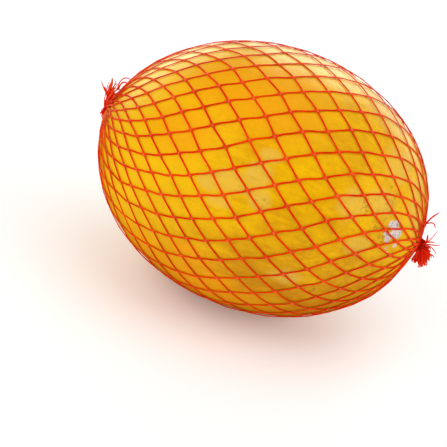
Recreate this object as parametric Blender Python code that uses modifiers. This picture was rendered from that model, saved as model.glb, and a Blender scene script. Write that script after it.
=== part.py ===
"""A whole yellow muskmelon in its orange-red sale net, lying on its side.

Two solids: the melon, grown as one piece, and the net drawn over it, whose diamond
cells run from one gather to the other and end there in a knot with a tuft of cut strands.
+X runs along the melon from the stem end to the blossom end, +Z is up, and the origin
is under the crossing of strands that the melon rests on. Metres throughout.
"""

import math
import random

import bmesh
import bpy
from mathutils import Matrix, Vector

# The melon
MELON_LENGTH = 0.198
MELON_WIDTH = 0.157
END_CONTRAST = 0.036        # share by which the blossom half is wider and the stem half narrower
GROUND_SPOT_DEPTH = 0.0016  # how far the underside is pressed flat
STEM_SCAR_RADIUS = 0.0075
STEM_SCAR_DEPTH = 0.0018
BLOSSOM_SCAR_RADIUS = 0.0050
BLOSSOM_SCAR_DEPTH = 0.0008
PROFILE_POINTS = 40
TURN_STEPS = 52

# The net's strands
STRAND = 0.0016             # thickness of a strand
CLEARANCE = 0.0003          # least gap between the net and the rind
STRAND_SAG = 0.0005         # room for a straight strand over the curved rind
PRESSED = 0.0005            # how much of a strand's underside is flattened by the ground
CELLS_AROUND = 28
FIRST_ROW = -10
LAST_ROW = 9
STEM_RING_ROW = -11         # where the gathered strands bend, between the last row and the gather
BLOSSOM_RING_ROW = 10

# The net's lie on the melon, in radians on a unit ball that is stretched to the melon
SIDE_HEIGHT = math.radians(24.0)      # height of the side from which the rows are counted
NET_DIP = 0.103                       # the net's own axis dips towards the blossom end
NET_SLIP_UP = 0.024                   # the whole net is drawn a little up
NET_SLIP_OUT = 0.067                  # and towards the counted side
ROW_PITCH = 0.1157
ROW_DRIFT = 0.000763                  # the rows open towards the blossom end
ROW_GROWTH = 0.000151                 # and towards both gathers
FIRST_TURN = -0.555                   # where the counting of steps around starts
TWIST = 0.0061                        # turn of each row against the one before
TWIST_BOW = -0.00111
ROW_LEAN = -0.041                     # rows lean twice on the way round
STEP_CROWDING = -0.037                # steps crowd twice on the way round
STEP_SHIFT = 0.031
REST_CROSSING = (1, 23)               # row and step of the crossing over the origin

# The gathers and their tufts
KNOT_RADIUS = 0.0048
KNOT_HEIGHT = 0.0052
TUFT_STRANDS = 16
TUFT_STRAND = 0.0015
TUFT_SEGMENTS = 3
TUFT_SPREAD = 1.15                    # radians between the tuft's middle and its outermost strand
TUFT_CLEAR = 0.30                     # least share of a strand's direction that leads off the rind
STEM_TUFT_LEAN = Vector((-0.12, 0.40, 0.90))
STEM_TUFT_REACH = (0.0080, 0.0155)    # shortest and longest strand, from the knot's middle
BLOSSOM_TUFT_LEAN = Vector((0.60, -0.30, -0.74))
BLOSSOM_TUFT_REACH = (0.0085, 0.0130)
SEED = 11

HALF_LENGTH = MELON_LENGTH / 2
HALF_WIDTH = MELON_WIDTH / 2
STEPS_AROUND = 2 * CELLS_AROUND
LIFT = CLEARANCE + STRAND / 2 + STRAND_SAG
SPOT_HEIGHT = LIFT + STRAND / 2 - PRESSED          # height of the pressed spot over the ground
CENTRE_HEIGHT = SPOT_HEIGHT + HALF_WIDTH - GROUND_SPOT_DEPTH


def clear_scene():
    for item in list(bpy.data.objects):
        bpy.data.objects.remove(item, do_unlink=True)


def new_collection(name):
    group = bpy.data.collections.new(name)
    bpy.context.scene.collection.children.link(group)
    return group


def plain_material(name, colour, roughness, metallic=0.0):
    material = bpy.data.materials.new(name)
    material.use_nodes = True
    shader = material.node_tree.nodes["Principled BSDF"]
    shader.inputs["Base Color"].default_value = (*colour, 1.0)
    shader.inputs["Roughness"].default_value = roughness
    shader.inputs["Metallic"].default_value = metallic
    material.diffuse_color = (*colour, 1.0)
    return material


def add_object(name, mesh, group):
    item = bpy.data.objects.new(name, mesh)
    group.objects.link(item)
    return item


def rind_point(direction, lift=0.0):
    """The rind under a direction on the unit ball, raised along its normal, from the melon's centre."""
    along, across, up = direction
    width = HALF_WIDTH * (1 + END_CONTRAST * along)
    point = Vector((HALF_LENGTH * along, width * across, width * up))
    radius_squared = point.y ** 2 + point.z ** 2
    flare = END_CONTRAST * HALF_WIDTH / (HALF_LENGTH * width)
    along_part = along / HALF_LENGTH - flare * radius_squared / width ** 2
    normal = Vector((along_part, point.y / width ** 2, point.z / width ** 2)).normalized()
    return point + normal * lift


def scar_depth(radius, scar_radius, scar_depth_at_middle):
    """A shallow dish whose rim runs smoothly into the rind."""
    share = min(radius / scar_radius, 1.0)
    return scar_depth_at_middle * (1 - share ** 2) ** 2


def melon_profile():
    """Points of the rind from the blossom end to the stem end, as (distance out, height) for turning."""
    points = []
    for index in range(PROFILE_POINTS + 1):
        share = index / PROFILE_POINTS
        angle = math.pi * (share - 0.06 * math.sin(2 * math.pi * share))
        out, along = math.sin(angle), math.cos(angle)
        radius = HALF_WIDTH * (1 + END_CONTRAST * along) * out
        height = HALF_LENGTH * along
        if along > 0:
            height -= scar_depth(radius, BLOSSOM_SCAR_RADIUS, BLOSSOM_SCAR_DEPTH)
        else:
            height += scar_depth(radius, STEM_SCAR_RADIUS, STEM_SCAR_DEPTH)
        points.append((radius, height))
    points[0] = (0.0, points[0][1])
    points[-1] = (0.0, points[-1][1])
    return points


def box_cutter(name, low, high, group):
    """A guide box between two corners, shown as wire and left out of the model."""
    mesh = bpy.data.meshes.new(name)
    shape = bmesh.new()
    bmesh.ops.create_cube(shape, size=1.0)
    size = high - low
    bmesh.ops.scale(shape, vec=size, verts=shape.verts)
    bmesh.ops.translate(shape, vec=(low + high) / 2, verts=shape.verts)
    shape.to_mesh(mesh)
    shape.free()
    cutter = add_object(name, mesh, group)
    cutter.display_type = "WIRE"
    cutter.hide_render = True
    return cutter


def cut_away(item, cutter):
    cut = item.modifiers.new("Pressed flat", "BOOLEAN")
    cut.operation = "DIFFERENCE"
    cut.object = cutter
    return cut


def make_melon(group, cutters, centre):
    """The rind's profile turned about the melon's length, pressed flat where it lies."""
    mesh = bpy.data.meshes.new("melon")
    profile = [(radius, 0.0, height) for radius, height in melon_profile()]
    edges = [(index, index + 1) for index in range(PROFILE_POINTS)]
    mesh.from_pydata(profile, edges, [])
    melon = add_object("melon", mesh, group)
    melon.location = centre
    melon.rotation_euler = (0.0, math.radians(90.0), 0.0)
    turn = melon.modifiers.new("Turned", "SCREW")
    turn.axis = "Z"
    turn.steps = TURN_STEPS
    turn.render_steps = TURN_STEPS
    turn.use_merge_vertices = True
    turn.merge_threshold = 0.00001
    reach = Vector((HALF_LENGTH, HALF_WIDTH, HALF_WIDTH))
    under = box_cutter("melon_ground", centre - reach, centre + reach, cutters)
    under.location.z = SPOT_HEIGHT - (centre.z + reach.z)
    cut_away(melon, under)
    mesh.materials.append(plain_material("Melon rind", (0.86, 0.50, 0.03), 0.42))
    return melon


def net_axes():
    """The net's own axis, the side that its steps are counted from, and the third direction."""
    side = Vector((0.0, -math.cos(SIDE_HEIGHT), math.sin(SIDE_HEIGHT)))
    up = Vector((0.0, math.sin(SIDE_HEIGHT), math.cos(SIDE_HEIGHT)))
    axis = math.cos(NET_DIP) * Vector((1.0, 0.0, 0.0)) - math.sin(NET_DIP) * up
    slip = NET_SLIP_UP * up + NET_SLIP_OUT * side
    return axis, side, axis.cross(side), slip


def net_direction(row, step):
    """Where a crossing of the net lies on the unit ball, from its row and its step around."""
    axis, side, turned, slip = net_axes()
    along = ROW_PITCH * row + ROW_DRIFT * row ** 2 + ROW_GROWTH * row ** 3
    around = FIRST_TURN + math.pi / CELLS_AROUND * step + TWIST * row + TWIST_BOW * row ** 2
    along += ROW_LEAN * math.cos(along) * math.cos(2 * around)
    around += STEP_CROWDING * math.sin(2 * around) + STEP_SHIFT * math.cos(2 * around)
    level = math.cos(around) * side + math.sin(around) * turned
    return (math.sin(along) * axis + math.cos(along) * level + slip).normalized()


def gather_direction(end):
    """Where the net is gathered, at its stem end (-1) or its blossom end (+1)."""
    axis, _, _, slip = net_axes()
    return (end * axis + slip).normalized()


def net_point(direction, centre):
    """The middle of a strand over the rind, pressed level over the ground spot."""
    point = centre + rind_point(direction, LIFT)
    point.z = max(point.z, SPOT_HEIGHT - LIFT)
    return point


def net_cells(centre):
    """The net as a closed sheet of diamond cells, with wedge-shaped ones around each gather."""
    sheet = bmesh.new()
    crossings = {}
    for row in range(FIRST_ROW, LAST_ROW + 1):
        for step in range(row % 2, STEPS_AROUND, 2):
            crossings[row, step] = sheet.verts.new(net_point(net_direction(row, step), centre))
    for row in range(FIRST_ROW, LAST_ROW - 1):
        for step in range(row % 2, STEPS_AROUND, 2):
            after = (step + 1) % STEPS_AROUND
            before = (step - 1) % STEPS_AROUND
            corners = ((row, step), (row + 1, before), (row + 2, step), (row + 1, after))
            sheet.faces.new([crossings[corner] for corner in corners])
    ends = ((-1, FIRST_ROW, FIRST_ROW + 1, STEM_RING_ROW), (1, LAST_ROW, LAST_ROW - 1, BLOSSOM_RING_ROW))
    for end, row, inner_row, ring_row in ends:
        middle = sheet.verts.new(net_point(gather_direction(end), centre))
        steps = list(range(row % 2, STEPS_AROUND, 2))
        ring = {step: sheet.verts.new(net_point(net_direction(ring_row, step), centre)) for step in steps}
        for step in steps:
            following = (step + 2) % STEPS_AROUND
            between = crossings[inner_row, (step + 1) % STEPS_AROUND]
            corner = crossings[row, step]
            next_corner = crossings[row, following]
            sheet.faces.new((between, corner, ring[step], middle, ring[following], next_corner))
    bmesh.ops.recalc_face_normals(sheet, faces=sheet.faces)
    mesh = bpy.data.meshes.new("net")
    sheet.to_mesh(mesh)
    sheet.free()
    return mesh


def make_knot(name, foot, normal, group):
    """The drawn-together middle of a gather: a rounded button just clear of the rind."""
    mesh = bpy.data.meshes.new(name)
    ball = bmesh.new()
    bmesh.ops.create_uvsphere(ball, u_segments=12, v_segments=7, radius=1.0)
    bmesh.ops.scale(ball, vec=(KNOT_RADIUS, KNOT_RADIUS, KNOT_HEIGHT / 2), verts=ball.verts)
    turn = normal.to_track_quat("Z", "Y").to_matrix().to_4x4()
    place = Matrix.Translation(foot + normal * (CLEARANCE + KNOT_HEIGHT / 2)) @ turn
    bmesh.ops.transform(ball, matrix=place, verts=ball.verts)
    ball.to_mesh(mesh)
    ball.free()
    return add_object(name, mesh, group)


def make_tuft_strand(name, points, group):
    """One cut strand: a bevelled line through a few points, made a closed mesh."""
    line = bpy.data.curves.new(name, "CURVE")
    line.dimensions = "3D"
    line.bevel_depth = TUFT_STRAND / 2
    line.bevel_resolution = 0
    line.use_fill_caps = True
    spline = line.splines.new("POLY")
    spline.points.add(len(points) - 1)
    for slot, point in zip(spline.points, points):
        slot.co = (*point, 1.0)
    guide = add_object(name + "_line", line, group)
    bpy.context.view_layer.update()
    mesh = bpy.data.meshes.new_from_object(guide.evaluated_get(bpy.context.evaluated_depsgraph_get()))
    bpy.data.objects.remove(guide, do_unlink=True)
    welded = bmesh.new()
    welded.from_mesh(mesh)
    bmesh.ops.remove_doubles(welded, verts=welded.verts, dist=0.00001)
    bmesh.ops.recalc_face_normals(welded, faces=welded.faces)
    welded.to_mesh(mesh)
    welded.free()
    return add_object(name, mesh, group)


def tuft_directions(normal, lean):
    """Evenly spread start directions about the tuft's lean, none of them leading into the rind."""
    middle = lean.normalized()
    turn = middle.to_track_quat("Z", "Y")
    golden = math.pi * (3 - math.sqrt(5))
    directions = []
    for index in range(TUFT_STRANDS):
        opening = TUFT_SPREAD * math.sqrt((index + 0.5) / TUFT_STRANDS)
        around = golden * index
        sideways = Vector((math.cos(around), math.sin(around), 0.0)) * math.sin(opening)
        direction = turn @ (sideways + Vector((0.0, 0.0, math.cos(opening))))
        short = TUFT_CLEAR - direction.dot(normal)
        if short > 0:
            direction = (direction + normal * short).normalized()
        directions.append(direction)
    return directions


def make_tuft(name, foot, normal, lean, reaches, draw, group):
    """Cut strands that stand out of a knot and curl a little on their way."""
    root = foot + normal * (CLEARANCE + KNOT_HEIGHT / 2)
    for index, direction in enumerate(tuft_directions(normal, lean)):
        reach = draw.uniform(*reaches)
        curl = Vector((draw.uniform(-1, 1), draw.uniform(-1, 1), draw.uniform(-1, 1))) * 0.22 * reach
        if curl.dot(normal) < 0:
            curl = -curl
        points = []
        for part in range(TUFT_SEGMENTS + 1):
            share = 0.12 + 0.88 * part / TUFT_SEGMENTS
            points.append(root + direction * reach * share + curl * share ** 2)
        make_tuft_strand(f"{name}_{index}", points, group)


def join_to_net(net, pieces):
    """One union of the net with everything in a collection, applied; the collection is then emptied."""
    join = net.modifiers.new("Gathered", "BOOLEAN")
    join.operation = "UNION"
    join.operand_type = "COLLECTION"
    join.collection = pieces
    join.solver = "MANIFOLD"
    bpy.context.view_layer.update()
    joined = bpy.data.meshes.new_from_object(net.evaluated_get(bpy.context.evaluated_depsgraph_get()))
    net.modifiers.clear()
    net.data = joined
    for piece in list(pieces.objects):
        bpy.data.objects.remove(piece, do_unlink=True)
    bpy.data.collections.remove(pieces)


def make_net(group, cutters, centre):
    """Strands along every edge of the cell sheet, pressed flat below, with both gathers joined on."""
    net = add_object("net", net_cells(centre), group)
    strands = net.modifiers.new("Strands", "WIREFRAME")
    strands.thickness = STRAND
    strands.use_even_offset = True
    strands.use_replace = True
    strands.use_boundary = False
    reach = Vector((HALF_LENGTH, HALF_WIDTH, 0.0))
    low = Vector((centre.x, centre.y, -STRAND)) - reach
    high = Vector((centre.x, centre.y, 0.0)) + reach
    pressed = cut_away(net, box_cutter("net_ground", low, high, cutters))
    pressed.solver = "MANIFOLD"
    pieces = new_collection("gather pieces")
    draw = random.Random(SEED)
    gathers = (
        ("stem_end", -1, STEM_TUFT_LEAN, STEM_TUFT_REACH),
        ("blossom_end", 1, BLOSSOM_TUFT_LEAN, BLOSSOM_TUFT_REACH),
    )
    for name, end, lean, reaches in gathers:
        direction = gather_direction(end)
        foot = centre + rind_point(direction)
        normal = (rind_point(direction, 1.0) - rind_point(direction)).normalized()
        make_knot(f"{name}_knot", foot, normal, pieces)
        make_tuft(f"{name}_strand", foot, normal, lean, reaches, draw, pieces)
    join_to_net(net, pieces)
    net.data.materials.append(plain_material("Net plastic", (0.78, 0.07, 0.01), 0.38))
    return net


def main():
    clear_scene()
    group = new_collection("muskmelon")
    cutters = new_collection("cutters")
    crossing = rind_point(net_direction(*REST_CROSSING), LIFT)
    centre = Vector((-crossing.x, -crossing.y, CENTRE_HEIGHT))
    make_melon(group, cutters, centre)
    make_net(group, cutters, centre)


main()
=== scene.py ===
import math

import bpy
import numpy as np
from mathutils import Matrix


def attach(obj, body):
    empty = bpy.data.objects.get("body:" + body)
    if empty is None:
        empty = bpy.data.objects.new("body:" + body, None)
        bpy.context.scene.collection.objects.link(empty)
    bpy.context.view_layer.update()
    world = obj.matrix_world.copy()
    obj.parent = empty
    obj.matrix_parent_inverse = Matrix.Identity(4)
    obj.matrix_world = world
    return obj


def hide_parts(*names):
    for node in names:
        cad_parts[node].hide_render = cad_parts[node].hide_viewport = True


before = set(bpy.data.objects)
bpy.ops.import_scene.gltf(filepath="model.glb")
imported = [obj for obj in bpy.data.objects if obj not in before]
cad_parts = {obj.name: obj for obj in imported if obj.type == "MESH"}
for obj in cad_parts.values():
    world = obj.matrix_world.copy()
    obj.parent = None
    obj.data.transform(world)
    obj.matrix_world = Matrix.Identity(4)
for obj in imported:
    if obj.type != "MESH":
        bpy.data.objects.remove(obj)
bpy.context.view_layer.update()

print("frame loaded with", sorted(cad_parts))

millimetre = 0.001

# Metres and radians, unless a comment says otherwise.
# +X runs from the stem end to the blossom end, +Z is up, and the photographed side faces -Y.
melonForm = {
    "halfLength": 0.099,
    "halfWidth": 0.0785,
    "endContrast": 0.036,  # the blossom half is wider by this share, the stem half narrower
    "centreHeight": 0.0788,
    "spotHeight": 0.0007,  # underside of the rind over the ground
    "spotEdge": 0.00035,  # how softly the ground spot runs into the round
    "stemScarRadius": 0.0075,
    "stemScarDepth": 0.0018,
    "blossomScarRadius": 0.0050,
    "blossomScarDepth": 0.0008,
}

# The net's lie on the melon, on a unit ball that is stretched to the melon.
netForm = {
    "cellsAround": 28,
    "sideHeight": math.radians(24.0),
    "dip": 0.103,
    "slipUp": 0.024,
    "slipOut": 0.067,
    "rowPitch": 0.1157,
    "rowDrift": 0.000763,
    "rowGrowth": 0.000151,
    "firstTurn": -0.555,
    "twist": 0.0061,
    "twistBow": -0.00111,
    "rowLean": -0.041,
    "stepCrowding": -0.037,
    "stepShift": 0.031,
    # uneven pull on the photographed side: amount, waves along, waves around
    "pullAlong": [(0.0153, ("sin", 2), ("cos", 2))],
    "pullAround": [
        (0.1302, ("sin", 1), ("sin", 1)),
        (-0.0476, ("sin", 1), ("sin", 3)),
        (-0.0314, ("sin", 1), ("cos", 4)),
        (-0.0524, ("cos", 2), ("sin", 1)),
        (0.0345, ("cos", 2), ("sin", 3)),
    ],
    "restCrossing": (1, 23),
    "solidLift": 0.0016,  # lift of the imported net's strands, which fixes where the origin is
}

cameraView = {
    "distance": 0.70,
    "height": math.radians(24.0),  # over the horizon
    "roll": 0.3322,
    "melonPixel": (261.8, 177.9),  # where the melon's middle shows in the frame
    "framePixels": 447,
    "pixelsPerMetre": 1684.0,  # at the melon's middle
    "sensorWidth": 36.0,  # millimetres
    "nearest": 0.01,
}


def unit(vectors):
    # each vector divided by its own length
    return vectors / np.linalg.norm(vectors, axis=-1, keepdims=True)


def smoothStep(low, high, values):
    # 0 below low, 1 above high, and 3s^2 - 2s^3 between them
    share = np.clip((values - low) / (high - low), 0, 1)
    return share * share * (3 - 2 * share)


sideways = np.array([0.0, -math.cos(netForm["sideHeight"]), math.sin(netForm["sideHeight"])])
upwards = np.array([0.0, math.sin(netForm["sideHeight"]), math.cos(netForm["sideHeight"])])
lengthwise = np.array([1.0, 0.0, 0.0])
netAxis = math.cos(netForm["dip"]) * lengthwise - math.sin(netForm["dip"]) * upwards
netSlip = netForm["slipUp"] * upwards + netForm["slipOut"] * sideways


def waveField(seed, waves, shortest, longest):
    # a sum of plane waves with random directions, phases and wavelengths, about -1 to 1
    draw = np.random.RandomState(seed)
    ways = unit(draw.normal(size=(waves, 3)))
    ways = ways * 2 * np.pi / draw.uniform(shortest, longest, (waves, 1))
    phases = draw.uniform(0, 2 * np.pi, waves)

    def field(points):
        total = np.zeros(points.shape[:-1])
        for way, phase in zip(ways, phases):
            total += np.cos(points @ way + phase)
        return total / math.sqrt(waves)
    return field


skinShape = {
    "swell": 0.00022,  # broad uneven growth
    # shallow flats that the net bridges: direction, half width as an angle, depth
    "flats": [((0.30, 0.80, 0.52), 0.85, 0.0020), ((0.55, 0.42, 0.72), 0.34, 0.0008),
              ((-0.96, -0.11, -0.25), 0.28, 0.0012)],
    "ribs": 10,
    "ribHeight": 0.00016,
    "ribWander": 0.7,
    "wrinkles": 46,
    "wrinkleHeight": 0.00013,
    "blossomWrinkles": 0.45,  # height of those at the blossom end, against the stem end's
    "wrinkleStart": (0.004, 0.010),  # where they begin, from the middle of a scar
    "wrinkleReach": 0.030,  # and how far out they run
    "wrinkleWander": 2.5,
    "scarPuckers": 17,
    "puckerDepth": 0.22,
}
swellField = waveField(seed=3, waves=12, shortest=0.045, longest=0.090)
wrinkleDrift = waveField(seed=5, waves=8, shortest=0.020, longest=0.050)


def onBall(direction):
    # a direction stretched to the melon, whose width grows towards the blossom end
    width = melonForm["halfWidth"] * (1 + melonForm["endContrast"] * direction[..., 0:1])
    length = np.full_like(width, melonForm["halfLength"])
    return direction * np.concatenate([length, width, width], axis=-1)


def ballNormal(point):
    # the gradient of (x/a)^2 + (r/w)^2, where the width w itself changes along x
    half = melonForm["halfWidth"]
    width = half * (1 + melonForm["endContrast"] * point[..., 0] / melonForm["halfLength"])
    radiusSquared = point[..., 1] ** 2 + point[..., 2] ** 2
    flare = melonForm["endContrast"] * half / (melonForm["halfLength"] * width)
    alongPart = point[..., 0] / melonForm["halfLength"] ** 2 - flare * radiusSquared / width ** 2
    acrossParts = point[..., 1:] / width[..., None] ** 2
    return unit(np.concatenate([alongPart[..., None], acrossParts], axis=-1))


def flatDepth(direction):
    # a bell e^-(angle / half width)^4 for each flat
    total = np.zeros(direction.shape[:-1])
    for middle, reach, depth in skinShape["flats"]:
        angle = np.arccos(np.clip(direction @ unit(np.array(middle)), -1, 1))
        total += depth * np.exp(-(angle / reach) ** 4)
    return total


def skinHeight(direction, point):
    # broad swelling, shallow flats, faint lengthwise ribs, and wrinkles that fade out from the scars
    shape = skinShape
    around = np.arctan2(direction[..., 2], direction[..., 1])
    out = np.hypot(point[..., 1], point[..., 2])
    height = shape["swell"] * swellField(point) - flatDepth(direction)
    fade = np.clip(out / melonForm["halfWidth"], 0, 1) ** 2
    ribTurn = shape["ribs"] * around + shape["ribWander"] * np.sin(2 * around)
    height += shape["ribHeight"] * fade * np.cos(ribTurn)
    reach = np.exp(-(out / shape["wrinkleReach"]) ** 2) * smoothStep(*shape["wrinkleStart"], out)
    ripple = np.cos(shape["wrinkles"] * around + shape["wrinkleWander"] * wrinkleDrift(point))
    endShare = np.where(direction[..., 0] < 0, 1.0, shape["blossomWrinkles"])
    return height + endShare * shape["wrinkleHeight"] * reach * ripple


def scarDish(out, radius, depth):
    # a dish that is deepest in the middle: depth * (1 - (r/R)^2)^2
    share = np.clip(out / radius, 0, 1)
    return depth * (1 - share ** 2) ** 2


def rindPoint(direction, lift=0.0):
    # the rind under a direction, raised along its normal
    point = onBall(direction)
    normal = ballNormal(point)
    height = skinHeight(direction, point) + lift
    return point + normal * height[..., None], normal


def wave(kind, count, angle):
    return np.sin(count * angle) if kind == "sin" else np.cos(count * angle)


def unevenPull(pulls, along, around):
    # a sum of slow waves that fades out at both ends and on the far side
    total = sum(amount * wave(*first, along) * wave(*second, around)
                for amount, first, second in pulls)
    return total * np.cos(along) * (0.5 + 0.5 * np.cos(around))


def netDirection(row, step, pulled=True):
    # row and step give angles along the net's axis and around it, bent by a few slow waves, and
    # the ball of directions is then slipped a little up and outwards
    form = netForm
    turned = np.cross(netAxis, sideways)
    along = form["rowPitch"] * row + form["rowDrift"] * row ** 2 + form["rowGrowth"] * row ** 3
    around = form["firstTurn"] + np.pi / form["cellsAround"] * step
    around = around + form["twist"] * row + form["twistBow"] * row ** 2
    along = along + form["rowLean"] * np.cos(along) * np.cos(2 * around)
    around = (around + form["stepCrowding"] * np.sin(2 * around)
              + form["stepShift"] * np.cos(2 * around))
    if pulled:
        alongPull = unevenPull(form["pullAlong"], along, around)
        around = around + unevenPull(form["pullAround"], along, around)
        along = along + alongPull
    level = np.cos(around)[..., None] * sideways + np.sin(around)[..., None] * turned
    return unit(np.sin(along)[..., None] * netAxis + np.cos(along)[..., None] * level + netSlip)


def gatherDirection(end):
    # where the net is drawn together, at the stem end (-1) or the blossom end (+1)
    return unit(end * netAxis + netSlip)


def findCentre():
    # the melon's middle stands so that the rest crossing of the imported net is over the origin
    row, step = netForm["restCrossing"]
    crossing = onBall(netDirection(np.array(float(row)), np.array(float(step)), pulled=False))
    crossing = crossing + ballNormal(crossing) * netForm["solidLift"]
    return np.array([-crossing[0], -crossing[1], melonForm["centreHeight"]])


melonCentre = findCentre()


def softFloor(height, floor, edge):
    # max(height, floor) with a rounded corner: floor + edge * log(1 + e^((height - floor) / edge))
    return floor + edge * np.logaddexp(0, (height - floor) / edge)


def standOnSpot(points, floor):
    placed = points + melonCentre
    placed[..., 2] = softFloor(placed[..., 2], floor, melonForm["spotEdge"])
    return placed


def meshFromGrid(name, points, firstTips, lastTips, attributes):
    # points is [body, ring, side, xyz]. Rings are joined by quads, and each end is closed to a tip
    # by triangles. An attribute has a value for each point, for the first tips and for the last.
    bodies, rings, sides, _ = points.shape
    count = bodies * rings * sides
    vertices = np.concatenate([part.reshape(-1, 3) for part in (points, firstTips, lastTips)])
    index = np.arange(count).reshape(bodies, rings, sides)
    following = np.roll(index, -1, axis=2)
    corners = [index[:, :-1], index[:, 1:], following[:, 1:], following[:, :-1]]
    quads = np.stack(corners, axis=-1).reshape(-1, 4)
    firstIndex = np.broadcast_to(count + np.arange(bodies)[:, None], (bodies, sides))
    lastIndex = firstIndex + bodies
    firstFans = np.stack([firstIndex, index[:, 0], following[:, 0]], axis=-1).reshape(-1, 3)
    lastFans = np.stack([lastIndex, following[:, -1], index[:, -1]], axis=-1).reshape(-1, 3)
    mesh = bpy.data.meshes.new(name)
    mesh.vertices.add(len(vertices))
    mesh.vertices.foreach_set("co", vertices.astype(np.float32).ravel())
    loops = np.concatenate([quads.ravel(), firstFans.ravel(), lastFans.ravel()])
    sizes = np.concatenate([np.full(len(quads), 4), np.full(len(firstFans) + len(lastFans), 3)])
    mesh.loops.add(len(loops))
    mesh.loops.foreach_set("vertex_index", loops.astype(np.int32))
    mesh.polygons.add(len(sizes))
    mesh.polygons.foreach_set("loop_start", (np.cumsum(sizes) - sizes).astype(np.int32))
    mesh.polygons.foreach_set("use_smooth", np.ones(len(sizes), bool))
    for label, (onGrid, onFirst, onLast) in attributes.items():
        layer = mesh.attributes.new(label, "FLOAT", "POINT")
        values = np.concatenate([np.ravel(onGrid), np.ravel(onFirst), np.ravel(onLast)])
        layer.data.foreach_set("value", values.astype(np.float32))
    mesh.update(calc_edges=True)
    mesh.validate()
    return mesh


def addObject(name, data):
    made = bpy.data.objects.new(name, data)
    bpy.context.scene.collection.objects.link(made)
    return made


def addPiece(name, mesh, material):
    piece = addObject(name, mesh)
    mesh.materials.append(material)
    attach(piece, "root")
    print("made", name, "with", len(mesh.polygons), "faces")
    return piece


class Value:
    # wraps a socket, so that a sum or product of values adds the Math nodes it needs
    def __init__(self, finish, socket):
        self.finish = finish
        self.socket = socket

    def maths(self, operation, first, second):
        made = self.finish.node("ShaderNodeMath", {"operation": operation}, {0: first, 1: second})
        return Value(self.finish, made.outputs[0])

    def __add__(self, other):
        return self.maths("ADD", self, other)

    __radd__ = __add__

    def __mul__(self, other):
        return self.maths("MULTIPLY", self, other)

    __rmul__ = __mul__

    def __sub__(self, other):
        return self.maths("SUBTRACT", self, other)

    def __rsub__(self, other):
        return self.maths("SUBTRACT", other, self)

    def __pow__(self, other):
        return self.maths("POWER", self, other)


class Finish:
    # one material: a Principled shader and the nodes that feed it
    def __init__(self, name):
        self.material = bpy.data.materials.new(name)
        self.material.use_nodes = True
        self.tree = self.material.node_tree
        self.shader = self.tree.nodes["Principled BSDF"]
        self.place = self.node("ShaderNodeTexCoord").outputs["Object"]

    def node(self, kind, settings=None, sockets=None):
        made = self.tree.nodes.new(kind)
        for label, setting in (settings or {}).items():
            setattr(made, label, setting)
        for key, value in (sockets or {}).items():
            self.feed(made.inputs[key], value)
        return made

    def feed(self, socket, value):
        if isinstance(value, Value):
            value = value.socket
        if isinstance(value, bpy.types.NodeSocket):
            self.tree.links.new(value, socket)
        elif isinstance(value, tuple) and socket.type == "RGBA":
            socket.default_value = (*value, 1.0)
        else:
            socket.default_value = value

    def put(self, label, value):
        self.feed(self.shader.inputs[label], value)

    def noise(self, scale, detail, roughness):
        # the scale is one number, or three for a noise that is drawn out along an axis
        place = self.place
        if isinstance(scale, tuple):
            place = self.node("ShaderNodeMapping", {}, {"Vector": place, "Scale": scale}).outputs[0]
            scale = 1.0
        sockets = {"Vector": place, "Scale": scale, "Detail": detail, "Roughness": roughness}
        return Value(self, self.node("ShaderNodeTexNoise", {}, sockets).outputs[0])

    def attribute(self, label):
        made = self.node("ShaderNodeAttribute", {"attribute_name": label})
        return Value(self, made.outputs["Fac"])

    def between(self, value, low, high):
        # 0 where the value is under low, 1 over high, and smooth between them
        sockets = {"Value": value, "From Min": low, "From Max": high}
        settings = {"interpolation_type": "SMOOTHSTEP"}
        return Value(self, self.node("ShaderNodeMapRange", settings, sockets).outputs[0])

    def blend(self, mask, first, second):
        sockets = {0: mask, 6: first, 7: second}
        return self.node("ShaderNodeMix", {"data_type": "RGBA"}, sockets).outputs[2]

    def bump(self, height, distance, strength):
        sockets = {"Height": height, "Distance": distance, "Strength": strength}
        self.put("Normal", self.node("ShaderNodeBump", {}, sockets).outputs[0])


rindLook = {
    "gold": (0.94, 0.525, 0.000),
    # deep gold tone, which the height term also uses as painted shade on the underside
    "deepGoldAndShade": (0.57, 0.190, 0.000),
    "amber": (0.93, 0.370, 0.000),
    "mustard": (0.74, 0.400, 0.000),
    "straw": (0.95, 0.600, 0.006),
    "speck": (0.46, 0.235, 0.008),
    "creamAndSheen": (0.82, 0.50, 0.070),
    "olive": (0.42, 0.215, 0.020),
    "cork": (0.76, 0.68, 0.64),
    "corkShade": (0.34, 0.22, 0.16),
    "freckle": (0.20, 0.09, 0.02),
    "stemScar": (0.62, 0.41, 0.17),
    "scarPit": (0.40, 0.20, 0.05),
    "height": (0.005, 0.100),  # painted shade: heights at which the gold is deepest, on the underside, and brightest, on the lit top
    "stemward": (-0.090, -0.010),  # where the lighter stem end gives way
    "blossomward": (0.070, 0.095),  # where it lightens again at the other end
    "lightShares": (0.60, 0.65, 0.50),  # what the painted shade by height, the stem end and the blossom end add to the gold
    "goldRange": (-0.11, 1.04),
    "creamAndSheenRange": (0.36, 1.05),
    "creamAndSheenShare": 0.70,
    "amberShare": 0.85,
    "strawRange": (0.50, 0.72),
    "strawShare": 0.22,
    "oliveRange": (-0.04, 0.18),
    "oliveShare": 0.72,
    "mustardRange": (0.48, 0.66),
    "mustardShare": 0.20,
    "speckRange": (0.56, 0.70),
    "speckPatches": (0.42, 0.62),
    "speckShare": 0.30,
    "corkRange": (0.42, 0.62),
    "corkShadeRange": (-0.24, 0.10),
    "scarRange": (0.35, 0.70),
    "scarPitRange": (0.35, 0.60),
    "roughness": 0.34,
    "dullRoughness": 0.35,  # added on cork and scars
    "gloss": 0.34,
    "glossTint": (1.0, 0.85, 0.30),
    "bumpDepth": 0.00026,
    "bumpStrength": 0.65,
    "grainBumps": (0.25, 0.90),  # the finest bumps, and more of them where it is dull
}

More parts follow.
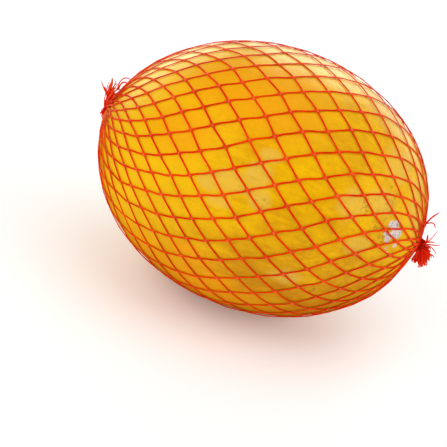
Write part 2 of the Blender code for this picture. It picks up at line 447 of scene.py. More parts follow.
# Scale, detail and roughness of each noise. Three scales draw it out along the melon.
rindNoises = {
    "drift": (13.0, 3.0, 0.55),
    "patches": (24.0, 3.0, 0.6),
    "mottle": (70.0, 4.0, 0.6),
    "flecks": (320.0, 4.0, 0.7),
    "dots": (560.0, 3.0, 0.6),
    "grain": (1100.0, 3.0, 0.6),
    "streaks": ((22.0, 150.0, 150.0), 5.0, 0.65),
    "creases": ((85.0, 520.0, 520.0), 4.0, 0.6),
}

# How much each noise varies a thing.
rindUnevenness = {
    "gold": {"drift": -0.8, "mottle": -0.7, "streaks": -0.9, "flecks": -0.5, "creases": -0.6},
    "amber": {"mottle": 0.6},
    "creamAndSheen": {"mottle": 0.9, "streaks": 1.3, "flecks": 0.5},
    "creamAndSheenFade": {"streaks": -0.7, "creases": -0.8},
    "olive": {"dots": 1.0, "flecks": 0.8},
    "mustard": {"flecks": 0.24},
    "cork": {"flecks": 0.7, "dots": 0.5},
    "corkShade": {"grain": 1.0, "dots": 0.4},
    "scar": {"grain": 0.3},
    "roughness": {"mottle": 0.16},
    "bumps": {"mottle": 0.5, "streaks": 0.7, "creases": 0.45, "flecks": 0.3},
}


def makeRindFinish():
    look = rindLook
    finish = Finish("rindFinish")
    noises = {label: finish.noise(*form) for label, form in rindNoises.items()}

    def uneven(middle, label):
        # the middle value, and each noise's own share of unevenness about it
        weights = rindUnevenness[label].items()
        return sum(((noises[name] - 0.5) * weight for name, weight in weights), middle)

    def between(value, label):
        return finish.between(value, *look[label])

    def marks(label):
        return between(uneven(finish.attribute(label), label), label + "Range")

    parts = finish.node("ShaderNodeSeparateXYZ", {}, {0: finish.place})
    # painted shade: the gold deepens towards the underside, where less light falls; the stem and
    # blossom ends are lighter
    lights = [between(parts.outputs[2], "height"), 1 - between(parts.outputs[0], "stemward"),
              between(parts.outputs[0], "blossomward")]
    gold = sum(light * share for light, share in zip(lights, look["lightShares"]))
    colour = finish.blend(between(uneven(gold, "gold"), "goldRange"), look["deepGoldAndShade"], look["gold"])
    cork = marks("cork")
    scar = marks("scar")
    olive = finish.attribute("olive") * between(uneven(0.0, "olive"), "oliveRange")
    specks = between(noises["grain"], "speckRange") * between(noises["flecks"], "speckPatches")
    corkShade = between(uneven(0.0, "corkShade"), "corkShadeRange")
    pit = between(noises["flecks"], "scarPitRange")
    layers = [
        (finish.attribute("amber") * uneven(look["amberShare"], "amber"), look["amber"]),
        # pale cream patches, and a painted sheen at the blossom end
        (marks("creamAndSheen") * uneven(look["creamAndSheenShare"], "creamAndSheenFade"), look["creamAndSheen"]),
        (between(noises["streaks"], "strawRange") * look["strawShare"], look["straw"]),
        (olive * look["oliveShare"], look["olive"]),
        (between(noises["patches"], "mustardRange") * uneven(look["mustardShare"], "mustard"),
         look["mustard"]),
        (specks * look["speckShare"], look["speck"]),
        (cork, finish.blend(corkShade, look["corkShade"], look["cork"])),
        (scar, finish.blend(pit, look["scarPit"], look["stemScar"])),
        (finish.attribute("freckle"), look["freckle"]),
    ]
    for mask, over in layers:
        colour = finish.blend(mask, colour, over)
    finish.put("Base Color", colour)
    dull = finish.between(cork + scar, 0.0, 1.0)
    roughness = look["roughness"] + dull * look["dullRoughness"]
    finish.put("Roughness", uneven(roughness, "roughness"))
    finish.put("Specular IOR Level", look["gloss"])
    finish.put("Specular Tint", look["glossTint"])
    everywhere, whereDull = look["grainBumps"]
    bumps = uneven(noises["grain"] * (everywhere + whereDull * dull), "bumps")
    finish.bump(bumps, look["bumpDepth"], look["bumpStrength"])
    return finish.material


# Marks on the rind. Each spot is (millimetres from the middle, degrees up from the photographed
# side, half length along the melon, half width around it).
rindMarks = {
    "cork": [
        (76.5, -1.1, 3, 2.7), (78.5, 1, 1.8, 1.6), (80, -5.6, 3.3, 3.6),
        (76.2, -9.6, 1.8, 3.2), (73.8, -7.4, 1, 1.3), (81.6, -14.7, 1.2, 1.3),
        (77.4, -16.6, 0.6, 1), (78.9, -19.6, 0.6, 1),
    ],
    # pale cream patches; the last, broad spot at the blossom end is a painted sheen
    "creamAndSheen": [
        (-25, -8.3, 8.5, 6), (-17.6, -14.7, 8, 4.5), (-15, -5.5, 10, 7.5),
        (-2.2, 0.2, 8, 8.5), (-6.2, -6.5, 5, 3.5), (3, -7.8, 6.5, 7.5),
        (1.3, 9.2, 6.5, 4.2), (51, 1.3, 9, 10), (65, 8, 10, 8),
        (60.7, -16.2, 8, 6), (68, 32, 9, 12), (56, 58, 12, 14),
        (30, -38, 12, 6), (88.5, 28, 9, 22),
    ],
    "olive": [
        (5, -9.3, 3.5, 3), (57.9, 2.4, 3.5, 5), (69.8, 0, 5, 6),
        (67.6, -5.4, 3.5, 2.2), (72.6, -10.4, 3, 5), (58.4, 7, 4, 2),
        (70.5, 13, 4, 7), (35, -22, 3, 2),
    ],
    "amber": [
        (-8, 33, 32, 25), (-50, 9, 18, 15), (-30, 38, 30, 20),
        (-20, -62, 50, 16), (-23, -44, 14, 7), (-5, -52, 12, 7),
    ],
    "freckle": [(47, -44.1, 0.9, 0.8)],
}


def markField(direction, point, spots):
    # the highest of the spots' bells, each e^(-0.7 d^4) of the distance in the spot's own half sizes
    around = np.arctan2(direction @ upwards, direction @ sideways)
    point = point / millimetre
    out = np.hypot(point[..., 1], point[..., 2])
    field = np.zeros(point.shape[:-1])
    for along, degrees, halfLength, halfWidth in spots:
        turn = np.angle(np.exp(1j * (around - math.radians(degrees))))
        squared = ((point[..., 0] - along) / halfLength) ** 2 + (turn * out / halfWidth) ** 2
        field = np.maximum(field, np.exp(-squared ** 2 * 0.7))
    return field


rindGrid = {
    "rings": 300,
    "sides": 312,
    "crowding": 0.06,  # of the rings towards both ends
    "corkHeight": 0.00016,
    "corkEdge": (0.35, 0.65),
    "corkRagged": 0.08,
    "corkRough": 0.3,
    "scarEdge": (0.55, 1.0),
    "blossomScarShade": 0.6,
}
corkField = waveField(seed=8, waves=20, shortest=0.0012, longest=0.0030)


def makeRind():
    # a grid of directions, crowded at both ends, stretched to the melon and pressed flat below
    grid = rindGrid
    share = (np.arange(1, grid["rings"] + 1) / (grid["rings"] + 1))[:, None]
    angle = np.pi * (share - grid["crowding"] * np.sin(2 * np.pi * share))
    turn = 2 * np.pi * np.arange(grid["sides"])[None, :] / grid["sides"]
    angle, turn = np.broadcast_arrays(angle, turn)
    level = np.sin(angle)
    direction = np.stack([np.cos(angle), level * np.cos(turn), level * np.sin(turn)], axis=-1)
    ball = onBall(direction)
    fields = {label: markField(direction, ball, spots) for label, spots in rindMarks.items()}
    rough = corkField(ball)
    cork = smoothStep(*grid["corkEdge"], fields["cork"] + grid["corkRagged"] * rough)
    lift = grid["corkHeight"] * cork * (1 + grid["corkRough"] * rough)
    point, normal = rindPoint(direction, lift)
    out = np.hypot(ball[..., 1], ball[..., 2])
    stemSide = direction[..., 0] < 0
    radius = np.where(stemSide, melonForm["stemScarRadius"], melonForm["blossomScarRadius"])
    depth = np.where(stemSide, melonForm["stemScarDepth"], melonForm["blossomScarDepth"])
    dish = scarDish(out, radius, depth)
    pucker = np.cos(skinShape["scarPuckers"] * turn) * np.clip(out / radius, 0, 1)
    point = point - normal * (dish * (1 + skinShape["puckerDepth"] * pucker))[..., None]
    shade = np.where(stemSide, 1.0, grid["blossomScarShade"])
    fields["scar"] = shade * (1 - smoothStep(*grid["scarEdge"], out / radius))
    tips = np.array([[melonForm["halfLength"] - melonForm["blossomScarDepth"], 0, 0],
                     [melonForm["stemScarDepth"] - melonForm["halfLength"], 0, 0]])
    placed = standOnSpot(point, melonForm["spotHeight"])
    tips = tips + melonCentre
    attributes = {label: (field, field[0].mean(), field[-1].mean())
                  for label, field in fields.items()}
    mesh = meshFromGrid("rind", placed[None], tips[0], tips[1], attributes)
    piece = addPiece("rind", mesh, makeRindFinish())
    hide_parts("melon")


netLook = {
    "orange": (0.88, 0.050, 0.001),
    "red": (0.74, 0.018, 0.001),
    "scarlet": (1.0, 0.013, 0.005),  # the crowded cut ends
    # painted glint colour on the plastic
    "pale": (0.94, 0.26, 0.06),
    # painted shade in the gathers' hollows and at the cut ends' roots
    "dark": (0.22, 0.005, 0.003),
    "drift": (60.0, 3.0, 0.55),  # scale, detail and roughness of both noises
    "streaks": (520.0, 3.0, 0.6),
    "toneRange": (0.38, 0.62),
    "toneStreaks": 0.4,
    "paleRange": (0.30, 0.60),
    "roughness": 0.46,
    "roughStreaks": 0.25,
    "bumpDepth": 0.00012,
    "bumpStrength": 0.5,
    "gloss": 0.05,
    "glossTint": (1.0, 0.40, 0.12),
    "glow": 0.25,  # light that passes through the thin plastic
    "glowReach": (0.0016, 0.0005, 0.0003),
}


# orange-red plastic, with painted glints that make it paler at the joins, where strands meet at the
# stem, and on some cut ends
def makeNetFinish():
    # orange-red plastic that is paler where it is stretched thin and where strands are fused
    look = netLook
    finish = Finish("netFinish")
    streaks = finish.noise(*look["streaks"])
    tone = finish.noise(*look["drift"]) + (streaks - 0.5) * look["toneStreaks"]
    colour = finish.blend(finish.between(tone, *look["toneRange"]), look["orange"], look["red"])
    # painted glints, broken up by the streaks
    pale = finish.attribute("paleAndGlint") * finish.between(streaks, *look["paleRange"])
    colour = finish.blend(pale, colour, look["pale"])
    colour = finish.blend(finish.attribute("cut"), colour, look["scarlet"])
    # painted shade in the gathers' hollows and at the cut ends' roots
    colour = finish.blend(finish.attribute("paintedShade"), colour, look["dark"])
    finish.put("Base Color", colour)
    finish.put("Roughness", look["roughness"] + (streaks - 0.5) * look["roughStreaks"])
    finish.bump(streaks, look["bumpDepth"], look["bumpStrength"])
    finish.put("Specular IOR Level", look["gloss"])
    finish.put("Specular Tint", look["glossTint"])
    finish.put("Subsurface Weight", look["glow"])
    finish.put("Subsurface Radius", look["glowReach"])
    return finish.material


strandForm = {
    "halfWidth": 0.00050,
    "halfHeight": 0.00027,
    "joinWiden": 0.40,  # how much wider a strand is at its joins
    "gatherWiden": {-1: 0.0, 1: 0.75},  # and at either gather
    "joinSharpness": 6,
    # painted glint at each join
    "joinGlint": 0.20,
    "joinTurn": {1: -0.05, -1: -0.20},  # how far each family swings around where it is fused
    "lift": 0.00034,
    "overLift": 0.00022,  # one family of strands crosses over the other
    "slack": 0.00014,
    "bridging": 0.45,  # how far the net stands over a flat, against the flat's depth
    "crossSharpness": 8,  # how short the rise over a crossing is
    "pileUp": 0.0010,  # how high strands pile up at a gather
    "pileShares": (0.35, 1.0),
    "pileSeed": 40,
    "pileReach": (0.019, 0.004),
    "widenReach": (0.034, 0.006),
    "stemGlint": 0.65,  # painted glint: strands are paler where they meet at the stem
    "glintReach": (0.022, 0.006),
    "straySeed": 17,
    "strayRows": 26,  # more than the net has, counted from the middle one
    "straySize": 0.6,
    "strayEnds": (8.0, 10.5),  # the rows between which the shifts fade out, either way
    "strayAlong": 0.0085,
    "strayAround": 0.0075,
    "firstRow": -11.78,
    "lastRow": 10.80,
    "samples": 171,
    "sides": 8,
    "groundGap": 0.00038,
}
slackField = waveField(seed=21, waves=14, shortest=0.030, longest=0.070)


def strayTable():
    # a small random shift for every crossing, kept for its row and step
    draw = np.random.RandomState(strandForm["straySeed"])
    size = (strandForm["strayRows"], 2 * netForm["cellsAround"], 2)
    return draw.normal(size=size) * strandForm["straySize"]


strays = strayTable()


def strayShift(row, step, sense):
    # a strand's shift, in rows and in steps, runs smoothly from that of the crossing behind to
    # that of the one ahead
    form = strandForm
    rowBelow = np.floor(row)
    share = smoothStep(0.0, 1.0, row - rowBelow)
    count = 2 * netForm["cellsAround"]
    stepBelow = np.round(step - sense * (row - rowBelow)).astype(int) % count
    index = (rowBelow + form["strayRows"] // 2).astype(int)
    first = strays[index, stepBelow]
    second = strays[index + 1, (stepBelow + sense) % count]
    shift = first + (second - first) * share[..., None]
    calm = 1 - smoothStep(*form["strayEnds"], np.abs(row + 0.5))
    rowShift = shift[..., 0] * form["strayAlong"] / netForm["rowPitch"] * calm
    stepShift = shift[..., 1] * form["strayAround"] * netForm["cellsAround"] / np.pi * calm
    return rowShift, stepShift


def strandPaths(sense):
    # strand k starts at step 2k in row 0 and goes one step around for each row along. It swings
    # around at each join: step = 2k + s * (row - t * sin(2 pi row) / (2 pi)).
    form = strandForm
    row = np.linspace(form["firstRow"], form["lastRow"], form["samples"])[None, :]
    start = 2.0 * np.arange(netForm["cellsAround"])[:, None]
    row, start = np.broadcast_arrays(row, start)
    swing = form["joinTurn"][sense] * np.sin(2 * np.pi * row) / (2 * np.pi)
    rowShift, stepShift = strayShift(row, start + sense * row, sense)
    direction = netDirection(row + rowShift, start + sense * (row - swing) + stepShift)
    return row, direction


def gatherCloseness(direction, end, far, near):
    # 1 at a gather, and 0 from a distance outwards
    gap = np.linalg.norm(onBall(direction) - onBall(gatherDirection(end)), axis=-1)
    return 1 - smoothStep(near, far, gap)


def strandLift(row, direction, sense):
    # close to the rind, higher where it crosses over, and piled up near a gather
    form = strandForm
    ball = onBall(direction)
    join = np.cos(np.pi * row) ** form["crossSharpness"]
    lift = form["lift"] + form["slack"] * (1 + slackField(ball))
    lift = lift + form["bridging"] * flatDepth(direction)
    if sense < 0:
        lift = lift + form["overLift"] * join
    draw = np.random.RandomState(form["pileSeed"] + sense)
    pile = draw.uniform(*form["pileShares"], (row.shape[0], 1))
    closeness = sum(gatherCloseness(direction, end, *form["pileReach"]) for end in (-1, 1))
    return lift + form["pileUp"] * pile * closeness


def tubeRings(path, normal, halfWidth, halfHeight, sides):
    # an oval ring at each point: side * w * cos + normal * h * sin, across the path's own direction
    tangent = unit(np.gradient(path, axis=-2))
    normal = unit(normal - tangent * np.sum(normal * tangent, axis=-1, keepdims=True))
    side = np.cross(tangent, normal)
    angle = 2 * np.pi * np.arange(sides) / sides
    across = np.cos(angle)[:, None] * side[..., None, :] * halfWidth[..., None, None]
    over = np.sin(angle)[:, None] * normal[..., None, :] * halfHeight[..., None, None]
    return path[..., None, :] + across + over


def aroundRings(field, sides):
    # one value all around each ring of a tube, and at both tips
    return np.repeat(field[..., None], sides, axis=-1), field[:, 0], field[:, -1]


def makeStrands():
    form = strandForm
    allPaths, allRings, allGlints = [], [], []
    for sense in (1, -1):
        row, direction = strandPaths(sense)
        point, normal = rindPoint(direction, strandLift(row, direction, sense))
        path = standOnSpot(point, form["groundGap"])
        join = np.cos(np.pi * row) ** form["joinSharpness"]
        width = 1 + form["joinWiden"] * join
        for end, widen in form["gatherWiden"].items():
            width = width + widen * gatherCloseness(direction, end, *form["widenReach"])
        halfWidth = form["halfWidth"] * width
        halfHeight = np.full_like(halfWidth, form["halfHeight"])
        # painted glint where strands meet at the stem, and at every join
        stemGlintMask = form["stemGlint"] * gatherCloseness(direction, -1, *form["glintReach"])
        allPaths.append(path)
        allRings.append(tubeRings(path, normal, halfWidth, halfHeight, form["sides"]))
        allGlints.append(form["joinGlint"] * join + stemGlintMask)
    path = np.concatenate(allPaths)
    paleAndGlint = aroundRings(np.concatenate(allGlints), form["sides"])
    rings = np.concatenate(allRings)
    mesh = meshFromGrid("netStrands", rings, path[:, 0], path[:, -1], {"paleAndGlint": paleAndGlint})
    piece = addPiece("netStrands", mesh, netFinish)
    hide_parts("net")


joinForm = {
    "halfLength": 0.00160,
    "halfWidth": 0.00096,
    "halfHeight": 0.00037,
    "rings": (0.35, 0.78, 1.0, 0.78, 0.35),
    # painted glint, palest in the middle of each join
    "glintPaleness": (0.0, 0.35, 0.75, 0.35, 0.0),
    "places": (-0.88, -0.55, 0.0, 0.55, 0.88),
    "sides": 8,
    "firstRow": -10,
    "rows": 20,
    "span": 0.05,  # rows either side of a join that give its own direction
}


def makeJoins():
    # a small lens of plastic at every crossing, drawn out along the net's axis
    form = joinForm
    row = form["firstRow"] + np.arange(form["rows"])[:, None]
    step = 2 * np.arange(netForm["cellsAround"])[None, :] + row % 2
    row, step = (part.reshape(-1, 1) + np.zeros(3) for part in np.broadcast_arrays(row, step))
    rowShift, stepShift = strayShift(row, step, 1)
    span = form["span"] * np.array([-1.0, 0.0, 1.0])
    direction = netDirection(row + rowShift + span, step + stepShift)
    lift = strandLift(row, direction, -1) - strandForm["overLift"] / 2
    point, normal = rindPoint(direction, lift)
    point = standOnSpot(point, strandForm["groundGap"])
    middle = point[:, 1]
    along = unit(point[:, 2] - point[:, 0])
    places = np.array(form["places"])[None, :, None] * form["halfLength"]
    path = middle[:, None] + along[:, None] * places
    swell = np.broadcast_to(np.array(form["rings"]), path.shape[:2])
    normals = np.broadcast_to(normal[:, 1][:, None], path.shape)
    halfWidth = form["halfWidth"] * swell
    rings = tubeRings(path, normals, halfWidth, form["halfHeight"] * swell, form["sides"])
    reach = along * form["halfLength"]
    paleAndGlint = aroundRings(np.broadcast_to(form["glintPaleness"], path.shape[:2]), form["sides"])
    mesh = meshFromGrid("netJoins", rings, middle - reach, middle + reach, {"paleAndGlint": paleAndGlint})
    addPiece("netJoins", mesh, netFinish)


gatherForm = {
    # the drawn-together neck: distance out, and height as a share of the neck's, from hollow to foot
    "profile": [(0.0005, 0.80), (0.0011, 0.94), (0.0016, 1.00), (0.0020, 0.86), (0.0021, 0.62),
                (0.0023, 0.40), (0.0030, 0.24), (0.0040, 0.14), (0.0047, 0.08), (0.0030, 0.07)],
    "neckWidth": {-1: 1.75, 1: 1.45},  # against the profile
    "neckHeight": {-1: 0.0022, 1: 0.0042},
    # painted shade: how dark each hollow is, the least on any gather, and how much lighter the
    # pleats' ridges are
    "neckShade": {-1: 0.35, 1: 0.80},
    "leastShade": 0.12,
    "pleatShade": 0.2,
    "hollowEdge": (0.0024, 0.0044),
    "pleats": 24,
    "pleatDepth": 0.13,
    "pleatRise": 0.10,
    "pleatWander": 3.0,
    "pleatUneven": 0.25,
    "unevenPhase": 1.0,
    "twist": 3.5,  # radians that the pleats wander from foot to mouth
    "seed": 60,
    "wander": 0.05,  # how far the neck strays from round, and the waves that make it up
    "wanderWaves": range(2, 7),
    "wanderPhases": (0, 6.3),
    "wanderRise": 1.4,
    "sides": 168,
}


def gatherPlace(end):
    foot, normal = rindPoint(gatherDirection(end))
    return foot + melonCentre, normal


def makeGather(name, end):
    # a turned profile whose radius and height ripple with the pleats and wander a little
    form = gatherForm
    foot, normal = gatherPlace(end)
    across = unit(np.cross(normal, sideways))
    third = np.cross(normal, across)
    turn = 2 * np.pi * np.arange(form["sides"]) / form["sides"]
    out, rise = np.array(form["profile"]).T[..., None]
    draw = np.random.RandomState(form["seed"] + end)
    wander = sum(draw.normal() * form["wander"]
                 * np.cos(waves * turn + draw.uniform(*form["wanderPhases"]))
                 for waves in form["wanderWaves"])
    pleatTurn = form["pleats"] * turn + form["pleatWander"] * np.sin(2 * turn)
    pleat = np.cos(pleatTurn + form["twist"] * rise)
    unevenness = 1 - np.sin(4 * turn + form["unevenPhase"])
    pleat = pleat * (1 - form["pleatUneven"] * unevenness)
    radius = out * form["neckWidth"][end] * (1 + form["pleatDepth"] * pleat + wander)
    ripple = form["pleatRise"] * pleat + form["wanderRise"] * wander
    height = rise * form["neckHeight"][end] * (1 + ripple)
    ring = np.cos(turn)[:, None] * across + np.sin(turn)[:, None] * third
    points = foot + radius[..., None] * ring[None] + height[..., None] * normal
    firstTip = foot + normal * rise[0] * form["neckHeight"][end]
    # painted shade: dark in the neck's hollow, never under leastShade, and lighter on the pleats'
    # ridges
    hollow = 1 - smoothStep(*form["hollowEdge"], out)
    hollow[-1] = 0.0
    hollow = np.maximum(hollow * form["neckShade"][end], form["leastShade"])
    hollow = hollow * (1 - form["pleatShade"] * (1 + pleat))
    # the first tip is the bottom of the hollow, and the last is the foot
    attributes = {
        "paleAndGlint": (hollow * 0, 0.0, 0.0),
        "paintedShade": (hollow, hollow[0, 0], 0.1),
        "cut": (hollow, 1.0, 0.5),
    }
    mesh = meshFromGrid(name, points[None], firstTip, foot, attributes)
    addPiece(name, mesh, netFinish)


def keepOutside(points, gap):
    # points inside the melon, or closer to it than the gap, are pushed out along their own direction
    local = points - melonCentre
    width = np.clip(local[..., 0:1] / melonForm["halfLength"], -1, 1)
    width = (melonForm["halfWidth"] + gap) * (1 + melonForm["endContrast"] * width)
    length = np.full_like(width, melonForm["halfLength"] + gap)
    stretch = np.concatenate([length, width, width], axis=-1)
    level = np.linalg.norm(local / stretch, axis=-1, keepdims=True)
    return melonCentre + local * np.maximum(1.0, 1.0 / level)


def cubicCurve(points, samples):
    # (1-t)^3 a + 3t(1-t)^2 b + 3t^2(1-t) c + t^3 d, for rows of four points
    share = np.linspace(0, 1, samples)
    rest = 1 - share
    weights = [rest ** 3, 3 * share * rest ** 2, 3 * share ** 2 * rest, share ** 3]
    return np.stack(weights, axis=-1) @ points


# The cut ends at each gather, in millimetres from the gather's foot: along the melon, up and
# towards the photographed side. A fan is a bunch of strands whose tips lie between two directions,
# in degrees from +X towards up. A loose strand has its four curve points and its half width.
stemEnds = {
    "end": -1,
    "seed": 5,
    "crinkle": 0.30,  # how far the strands waver
    "glintPaleness": 0.9,  # painted glints: paleness of the palest strands
    "mouthRadius": 3.0,  # within which the strands root
    "mouthHeight": 0.80,  # where they do, as a share of the neck's height
    "scatter": 0.8,  # how far roots stray from the side their tips are on
    "fans": [
        # strands, directions, reaches, depths, half width and height, rise, curl
        (22, (84, 114), (8, 16), (-2, 5), (0.50, 0.34), 1.6, 1.1),
        (22, (52, 88), (7, 15), (4, 14), (0.50, 0.34), 1.9, 1.3),
        (14, (112, 152), (3.5, 6), (-2, 5), (0.46, 0.32), 1, 0.8),
        (26, (26, 66), (4, 12), (6, 14), (0.48, 0.32), 1.9, 1.1),
        (12, (225, 265), (3.5, 6.5), (-1, 4), (0.46, 0.32), 1, 0.7),
    ],
    "loose": [
        ([(-0.5, 3, 1.5), (-2.4, 8, 1.5), (-3, 12.5, 1.5), (-3.4, 17.2, 1.5)], 0.80),
        ([(-0.8, 3, 0.5), (-4, 8, 0.5), (-7.4, 10, 0.5), (-9.3, 13.8, 0.5)], 0.42),
        ([(-0.8, 3.5, 1), (-3, 8, 1.5), (-6.2, 11, 1), (-7.2, 10.8, 1)], 0.60),
        ([(-0.4, -2.3, 2), (-3.4, -4.4, 2.4), (-2.8, -8.8, 2.2), (0.6, -5.4, 2)], 0.50),
        ([(2.6, 11.5, 10), (0.6, 18.4, 8), (3.8, 20.8, 5), (8.2, 19.6, 6)], 0.48),
        ([(3.6, 12, 14), (2.8, 17, 13), (7, 18.4, 12), (7, 15.4, 16)], 0.50),
        ([(0.5, 2, 4), (1, 5, 10), (2.2, 7, 15), (3.3, 7.8, 18.2)], 0.70),
    ],
}
blossomEnds = {
    "end": 1,
    "seed": 9,
    "crinkle": 0.16,
    # painted glints: paleness of the palest strands
    "glintPaleness": 0.5,
    "mouthRadius": 2.2,
    "mouthHeight": 0.60,
    "scatter": 0.25,
    "fans": [
        (30, (-88, -66), (8.8, 12.2), (-2.5, 3.5), (0.60, 0.36), 0.4, 0.6),
        (40, (-70, -46), (11.4, 15), (-3, 3.5), (0.60, 0.36), 1.3, 0.8),
        (32, (-48, -20), (10, 13.4), (-3, 3), (0.60, 0.36), 2, 0.8),
        (14, (-22, 0), (7, 10), (-3, 1.5), (0.56, 0.36), 1.9, 0.8),
        (10, (-100, -70), (3.5, 7), (0, 3.5), (0.60, 0.36), 0.3, 0.4),
    ],
    "loose": [
        ([(3, 0, 2), (5.8, 1, 2.5), (5, 4, 2.5), (4.3, 6.4, 2.5)], 0.75),
        ([(2.5, 0, 0.5), (6.4, 1, 0.5), (7.4, 5.5, 0.5), (9.3, 10.7, 0.5)], 0.36),
        ([(2.5, 0.2, 0.5), (6, 2.4, 0.8), (7.8, 3.2, 0.8), (9.7, 3.7, 0.8)], 0.50),
        ([(2.5, -0.5, 0), (6.5, 1.4, 0.2), (9.5, 1.7, 0.2), (13.4, 2.8, 0.2)], 0.40),
        ([(2.5, -0.8, 0.5), (7.4, 1.6, 0.6), (9.7, 0.4, 0.6), (12.9, -2.6, 0.6)], 0.40),
        ([(-0.6, 10.2, 1), (2.8, 13, 1), (2.6, 18.2, 0.6), (6.7, 20.5, 0.4)], 0.52),
        ([(-0.4, 10.4, 1.4), (3.4, 14.4, 1.4), (5.6, 15.2, 1.2), (7.4, 11.5, 1)], 0.45),
    ],
}
strandEnds = {
    "samples": 12,
    "sides": 6,
    "taper": 0.45,  # how much thinner a strand is at its tip
    "sizes": (0.65, 1.20),  # of a fan's strands, against its own
    "rootSpread": (0.2, 1.0),
    "riseSpread": (0.75, 1.25),
    "flare": 0.8,  # millimetres outwards while a strand rises
    "fallBack": 0.35,  # where it turns down, from tip to root
    "lateRise": 0.8,
    "clearance": 0.0011,  # from the rind
    "looseShape": (1.0, 0.8),  # half width and height, against a loose strand's own
    "facing": 0.5,  # how much the strands' flat sides turn outwards
    # painted shade on the cut ends: the most random darkening of a fan strand, that of a loose
    # strand, and the extra at its root
    "tipShade": 0.07,
    "looseShade": 0.12,
    "looseRootShade": 0.30,
    "swayWaves": (1.0, 2.5),
    "scarletShares": (0.45, 1.0),
    "scarletEnds": 0.25,  # what is left of it at either end of a strand
}


def fromSide(offsets, foot):
    # offsets along the melon, up and towards the photographed side, in millimetres
    return foot + offsets * millimetre @ np.stack([lengthwise, upwards, sideways])


def fanPoints(fan, ends, foot, normal, mouth, draw):
    # root in the neck's mouth, then out of it, over, and down to a tip in its fan
    form = strandEnds
    count, directions, reaches, depths, _, rise, curl = fan
    turn = np.radians(draw.uniform(*directions, count))
    reach = draw.uniform(*reaches, count)
    depth = draw.uniform(*depths, count)
    tip = fromSide(np.stack([reach * np.cos(turn), reach * np.sin(turn), depth], axis=-1), foot)
    ring = tip - foot
    ring = unit(ring - (ring @ normal)[:, None] * normal)
    ring = ring + ends["scatter"] * draw.normal(size=(count, 3))
    ring = unit(ring - (ring @ normal)[:, None] * normal)
    out = ends["mouthRadius"] * draw.uniform(*form["rootSpread"], (count, 1))
    root = mouth + ring * out * millimetre
    rises = rise * draw.uniform(*form["riseSpread"], (count, 1))
    second = root + (normal * rises + ring * form["flare"]) * millimetre
    stray = normal * rises * form["lateRise"] + curl * draw.normal(size=(count, 3))
    third = tip + (root - tip) * form["fallBack"] + stray * millimetre
    return np.stack([root, second, third, tip], axis=1)


def makeEnds(name, ends):
    form = strandEnds
    foot, normal = gatherPlace(ends["end"])
    draw = np.random.RandomState(ends["seed"])
    mouth = foot + normal * gatherForm["neckHeight"][ends["end"]] * ends["mouthHeight"]
    share = np.linspace(0, 1, form["samples"])
    taper = 1 - form["taper"] * share ** 4
    paths, halves, shades = [], [], []
    for fan in ends["fans"]:
        path = cubicCurve(fanPoints(fan, ends, foot, normal, mouth, draw), form["samples"])
        size = draw.uniform(*form["sizes"], (len(path), 1)) * taper
        paths.append(path)
        halves.append(size[..., None] * np.array(fan[4]) * millimetre)
        # painted shade: dark roots where strands leave the neck, with a little random darkening
        shades.append(draw.uniform(0.0, form["tipShade"], (len(path), 1)) + (1 - share) ** 3)
    routes = fromSide(np.array([route for route, _ in ends["loose"]]), foot)
    paths.append(cubicCurve(routes, form["samples"]))
    thickness = np.array([half for _, half in ends["loose"]])[:, None, None] * millimetre
    halves.append(thickness * np.array(form["looseShape"]) * taper[None, :, None])
    # painted shade, deepest at the loose strands' roots
    looseShade = form["looseShade"] + form["looseRootShade"] * (1 - share) ** 4
    shades.append(np.broadcast_to(looseShade, (len(routes), form["samples"])))
    path = np.concatenate(paths)
    count = len(path)
    waves = draw.uniform(*form["swayWaves"], (count, 1)) * share + draw.uniform(0, 1, (count, 1))
    sway = unit(draw.normal(size=(count, 1, 3))) * (np.sin(2 * np.pi * waves) * share)[..., None]
    path = keepOutside(path + ends["crinkle"] * millimetre * sway, form["clearance"])
    half = np.concatenate(halves)
    shade = np.clip(np.concatenate(shades), 0, 1)
    facing = unit(draw.normal(size=(count, 1, 3)) + normal * form["facing"]) + 0 * path
    rings = tubeRings(path, facing, half[..., 0], half[..., 1], form["sides"])
    # painted glints: a random paleness for each strand
    pale = draw.uniform(0, ends["glintPaleness"], (count, 1)) + 0 * shade
    middleness = np.sin(np.pi * share) ** 0.5
    cut = form["scarletEnds"] + (1 - form["scarletEnds"]) * middleness
    cut = draw.uniform(*form["scarletShares"], (count, 1)) * cut
    fields = {"paleAndGlint": pale, "paintedShade": shade, "cut": cut}
    attributes = {label: aroundRings(field, form["sides"]) for label, field in fields.items()}
    mesh = meshFromGrid(name, rings, path[:, 0], path[:, -1], attributes)
    addPiece(name, mesh, netFinish)


def turnedTo(right, up, back, place):
    # the matrix whose axes are these three and whose origin is the place
    matrix = np.eye(4)
    matrix[:3] = np.stack([right, up, back, place], axis=-1)
    return Matrix(matrix.tolist())


def makeCamera():
    # The camera stands at its distance and height from the melon's middle. It is rolled, which
    # lowers the blossom end in the picture, and turned so that the middle shows at its own pixel.
    view = cameraView
    toCamera = np.array([0.0, -math.cos(view["height"]), math.sin(view["height"])])
    over = np.array([0.0, math.sin(view["height"]), math.cos(view["height"])])
    right = math.cos(view["roll"]) * lengthwise + math.sin(view["roll"]) * over
    up = math.cos(view["roll"]) * over - math.sin(view["roll"]) * lengthwise
    focalPixels = view["pixelsPerMetre"] * view["distance"]
    offRight = view["melonPixel"][0] - view["framePixels"] / 2
    offUp = view["framePixels"] / 2 - view["melonPixel"][1]
    ahead = unit(-toCamera * focalPixels - right * offRight - up * offUp)
    right = unit(right - ahead * (right @ ahead))
    up = np.cross(right, ahead)
    data = bpy.data.cameras.new("camera")
    data.sensor_width = view["sensorWidth"]
    data.lens = focalPixels * data.sensor_width / view["framePixels"]
    data.clip_start = view["nearest"]
    camera = addObject("camera", data)
    camera.matrix_world = turnedTo(right, up, -ahead, melonCentre + toCamera * view["distance"])
    bpy.context.scene.camera = camera


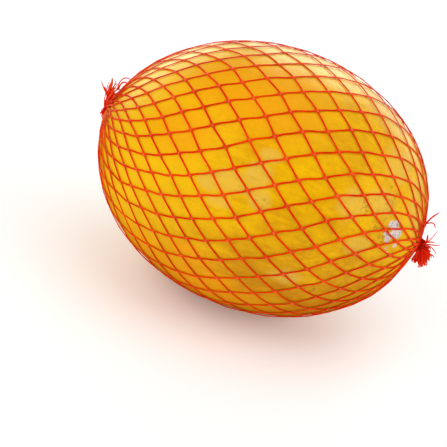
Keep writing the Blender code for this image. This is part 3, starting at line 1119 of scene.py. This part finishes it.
lightRig = {
    "world": 0.425,
    "backdrop": 1.0,  # the same room as the camera sees it
    "gleamColour": (0.84, 0.98, 0.86),
    "lights": [
        # name, direction from the melon, distance, width, height, watts, lit surfaces, seen in gloss
        ("gleam", (0.06, 0.77, 0.62), 1.1, 0.6, 0.6, 5.2, False, True),
        ("broadGleam", (0.26, 0.86, 0.42), 1.1, 1.2, 0.6, 3.6, False, True),
        ("edgeGleam", (-0.66, 0.72, 0.26), 1.1, 0.9, 0.5, 6.0, False, True),
        ("horizon", (0.10, 1.0, 0.17), 1.3, 2.4, 0.5, 8.0, False, True),
        ("top", (0.10, -0.10, 1.0), 1.2, 1.1, 1.1, 4.0, True, False),
        ("front", (-1.0, -1.0, 0.80), 1.5, 1.4, 1.4, 10.2, True, False),
        ("side", (1.0, -0.05, 0.35), 1.4, 1.2, 1.2, 8.4, True, False),
        ("back", (-0.20, 1.0, 0.25), 1.5, 1.4, 1.2, 4.0, True, False),
    ],
}


def makeWorld():
    # the room lights the melon but isn't seen in its gloss, so that only the light behind it gleams
    world = bpy.data.worlds.new("studio")
    world.use_nodes = True
    background = world.node_tree.nodes["Background"]
    background.inputs["Color"].default_value = (1.0, 1.0, 1.0, 1.0)
    rays = world.node_tree.nodes.new("ShaderNodeLightPath")
    strength = world.node_tree.nodes.new("ShaderNodeMapRange")
    strength.inputs["To Min"].default_value = lightRig["world"]
    strength.inputs["To Max"].default_value = lightRig["backdrop"]
    world.node_tree.links.new(rays.outputs["Is Camera Ray"], strength.inputs["Value"])
    world.node_tree.links.new(strength.outputs[0], background.inputs["Strength"])
    world.cycles_visibility.glossy = False
    bpy.context.scene.world = world


def makeLights():
    for name, direction, distance, width, height, watts, lights, gleams in lightRig["lights"]:
        data = bpy.data.lights.new(name, "AREA")
        data.shape = "RECTANGLE"
        data.size = width
        data.size_y = height
        data.energy = watts
        data.color = lightRig["gleamColour"] if gleams else (1.0, 1.0, 1.0)
        lamp = addObject(name, data)
        lamp.visible_diffuse = lights
        lamp.visible_glossy = gleams
        lamp.visible_camera = False
        back = unit(np.array(direction, float))
        side = unit(np.cross(np.array([0.0, 0.0, 1.0]), back))
        place = melonCentre + back * distance
        lamp.matrix_world = turnedTo(side, np.cross(back, side), back, place)


floorLook = {
    "half": 2.6,
    "colour": (0.96, 0.96, 0.96),
    "roughness": 0.75,
    "glow": 0.56,
    "nearGlow": (0.25, 0.25, 0.25),
    "farGlow": (1.0, 1.0, 1.0),
    "glowReach": (0.4, 2.6),  # squares of the distances between which the near glow gives way
}


def makeFloor():
    look = floorLook
    half = look["half"]
    mesh = bpy.data.meshes.new("floor")
    corners = [(-half, -half, 0.0), (half, -half, 0.0), (half, half, 0.0), (-half, half, 0.0)]
    mesh.from_pydata(corners, [], [(0, 1, 2, 3)])
    floor = addObject("floor", mesh)
    # past the reach of the lamps the floor glows a little more, so that it stays pale to its edge
    finish = Finish("floorFinish")
    parts = finish.node("ShaderNodeSeparateXYZ", {}, {0: finish.place})
    away = Value(finish, parts.outputs[0]) ** 2 + Value(finish, parts.outputs[1]) ** 2
    far = finish.between(away, *look["glowReach"])
    finish.put("Emission Color", finish.blend(far, look["nearGlow"], look["farGlow"]))
    finish.put("Base Color", look["colour"])
    finish.put("Roughness", look["roughness"])
    finish.put("Emission Strength", look["glow"])
    mesh.materials.append(finish.material)
    floor.visible_glossy = False


bpy.context.scene.view_settings.view_transform = "Standard"
makeCamera()
print("camera placed")
makeWorld()
makeLights()
makeFloor()
print("stage set")
netFinish = makeNetFinish()
makeRind()
makeStrands()
makeJoins()
makeGather("stemGather", -1)
makeGather("blossomGather", 1)
makeEnds("stemEnds", stemEnds)
makeEnds("blossomEnds", blossomEnds)
print("net finished")
